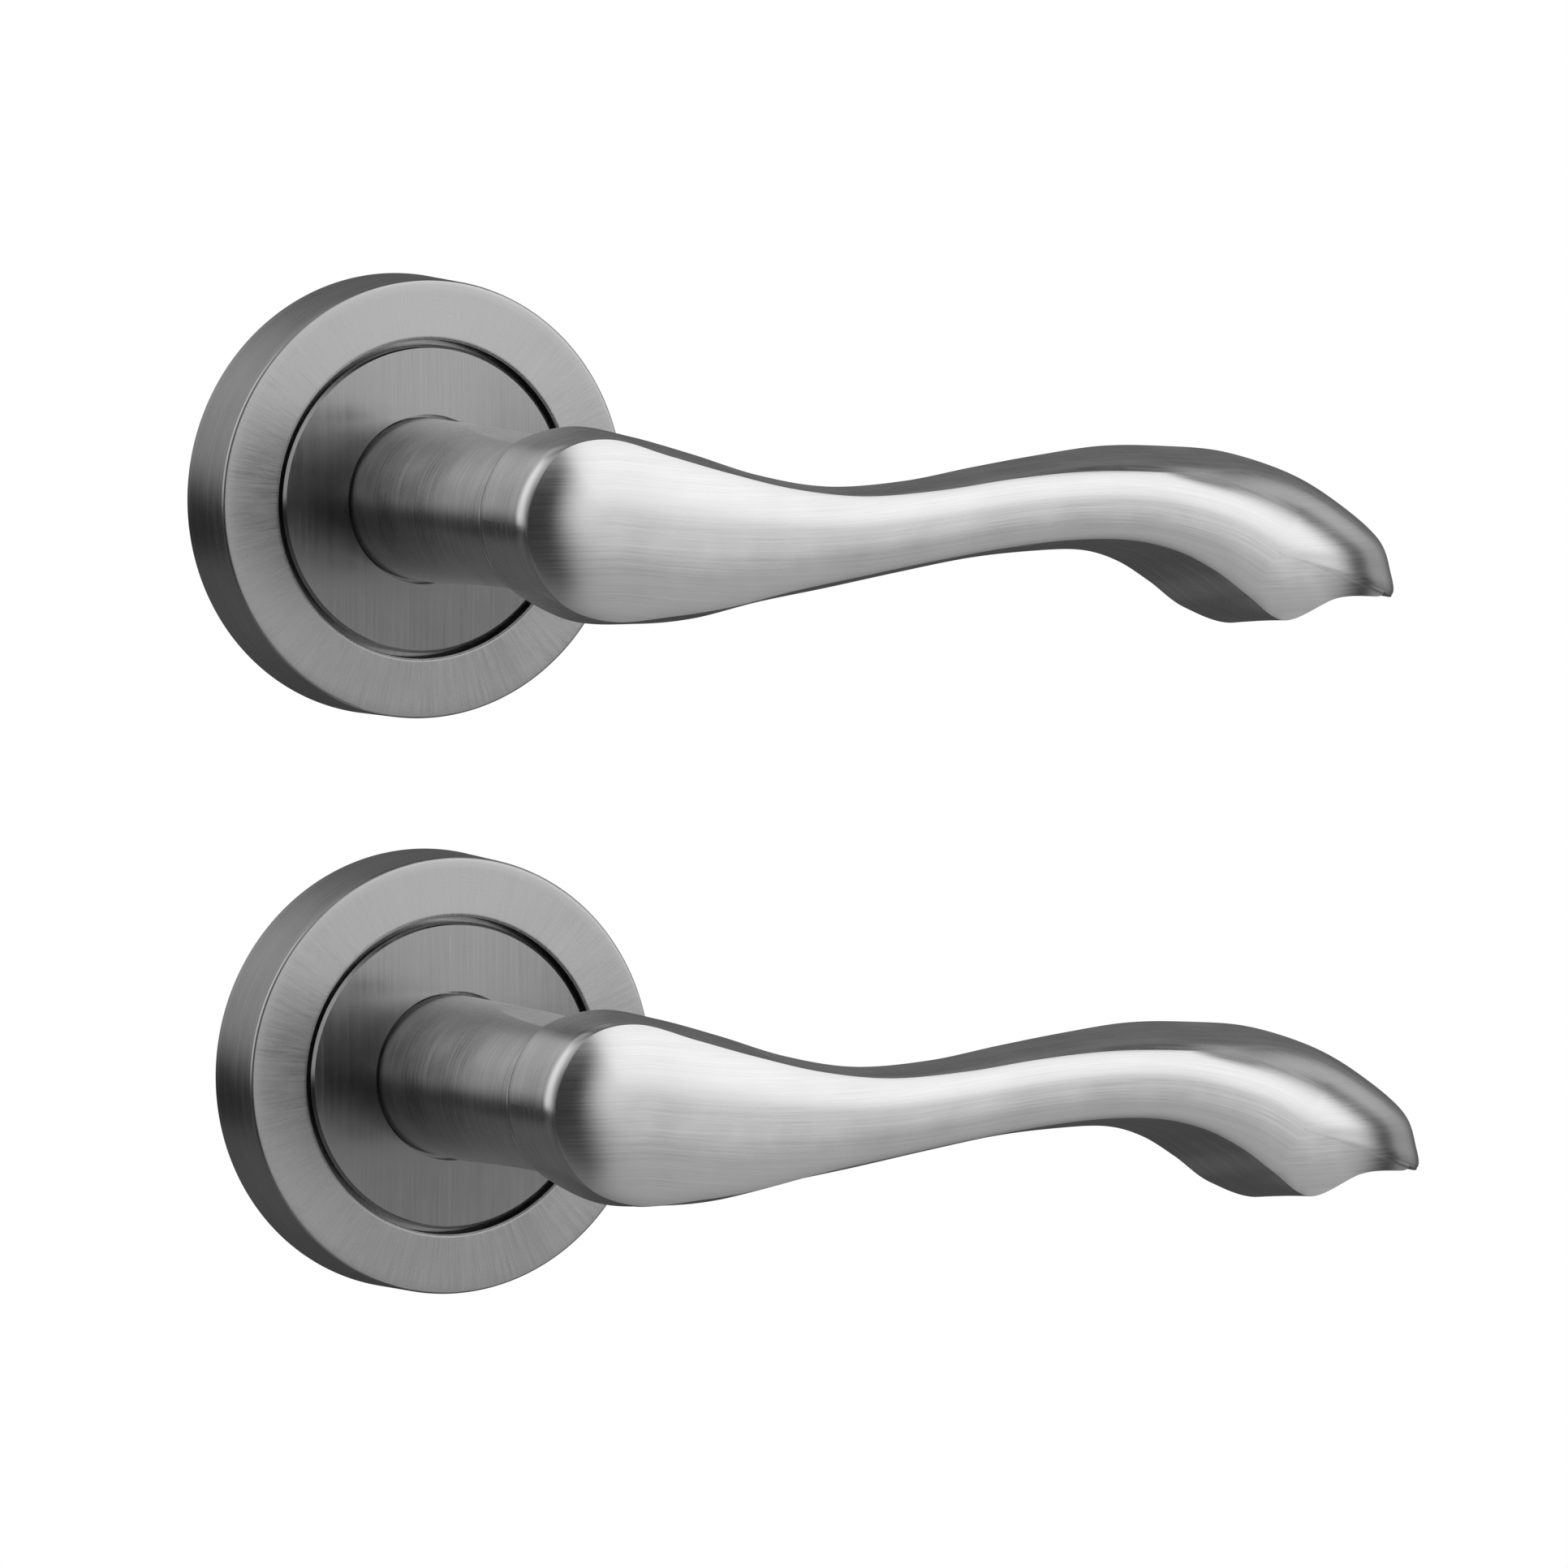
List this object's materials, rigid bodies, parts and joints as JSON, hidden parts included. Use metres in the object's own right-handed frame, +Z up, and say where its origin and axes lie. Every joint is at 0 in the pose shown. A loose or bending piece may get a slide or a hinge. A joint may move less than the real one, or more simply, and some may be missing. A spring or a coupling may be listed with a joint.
{
  "type": "lever handle lockset",
  "caption": "Pair of satin nickel door lever handles, each a scrolled lever that turns in a sprung round rose, with a square spindle behind.",
  "frame": {"origin": "the upper handle's spindle axis, on the plane of the door face", "axes": "+X along the levers from the spindle towards the tips, +Y into the door, +Z up; the handles stand out towards -Y"},
  "size_m": [0.1406, 0.0975, 0.1209],
  "materials": {
    "satin_nickel_lever": "satin nickel, brushed along the lever and round the neck",
    "satin_nickel_rose": "satin nickel, brushed round the rim and across the face",
    "satin_nickel_boss": "satin nickel, brushed in straight lines on the face",
    "zinc_plated_steel": "bright zinc plate over pressed or drawn steel",
    "spring_steel": "oiled spring steel",
    "black_steel": "black oxide",
    "white_nylon": "moulded nylon, satin"
  },
  "bodies": {
    "root": {"upper_cover_ring": "satin_nickel_rose", "upper_inner_rose": "satin_nickel_boss", "upper_bearing_bush": "white_nylon", "upper_back_plate": "zinc_plated_steel", "upper_plate_screws": "black_steel", "upper_return_spring": "spring_steel", "lower_cover_ring": "satin_nickel_rose", "lower_inner_rose": "satin_nickel_boss", "lower_bearing_bush": "white_nylon", "lower_back_plate": "zinc_plated_steel", "lower_plate_screws": "black_steel", "lower_return_spring": "spring_steel"},
    "upper_handle": {"upper_lever": "satin_nickel_lever", "upper_spring_driver": "zinc_plated_steel", "upper_wave_washer": "spring_steel", "upper_circlip": "black_steel", "upper_spindle": "zinc_plated_steel", "upper_grub_screw": "black_steel"},
    "lower_handle": {"lower_lever": "satin_nickel_lever", "lower_spring_driver": "zinc_plated_steel", "lower_wave_washer": "spring_steel", "lower_circlip": "black_steel", "lower_spindle": "zinc_plated_steel", "lower_grub_screw": "black_steel"}
  },
  "joints": [
    {"name": "upper_lever_turn", "type": "hinge", "parent": "root", "child": "upper_handle", "pos_m": [0, 0, 0], "axis": [0, 1, 0], "range_deg": [0, 45], "stiffness_Nm_per_rad": 0.8, "springref_deg": -28.65, "deforming": ["upper_return_spring"]},
    {"name": "lower_lever_turn", "type": "hinge", "parent": "root", "child": "lower_handle", "pos_m": [0.0035, 0, -0.0685], "axis": [0, 1, 0], "range_deg": [0, 45], "stiffness_Nm_per_rad": 0.8, "springref_deg": -28.65, "deforming": ["lower_return_spring"]}
  ],
  "couplings": [
    {"joint": "lower_lever_turn", "follows": "upper_lever_turn", "ratio": 1}
  ]
}
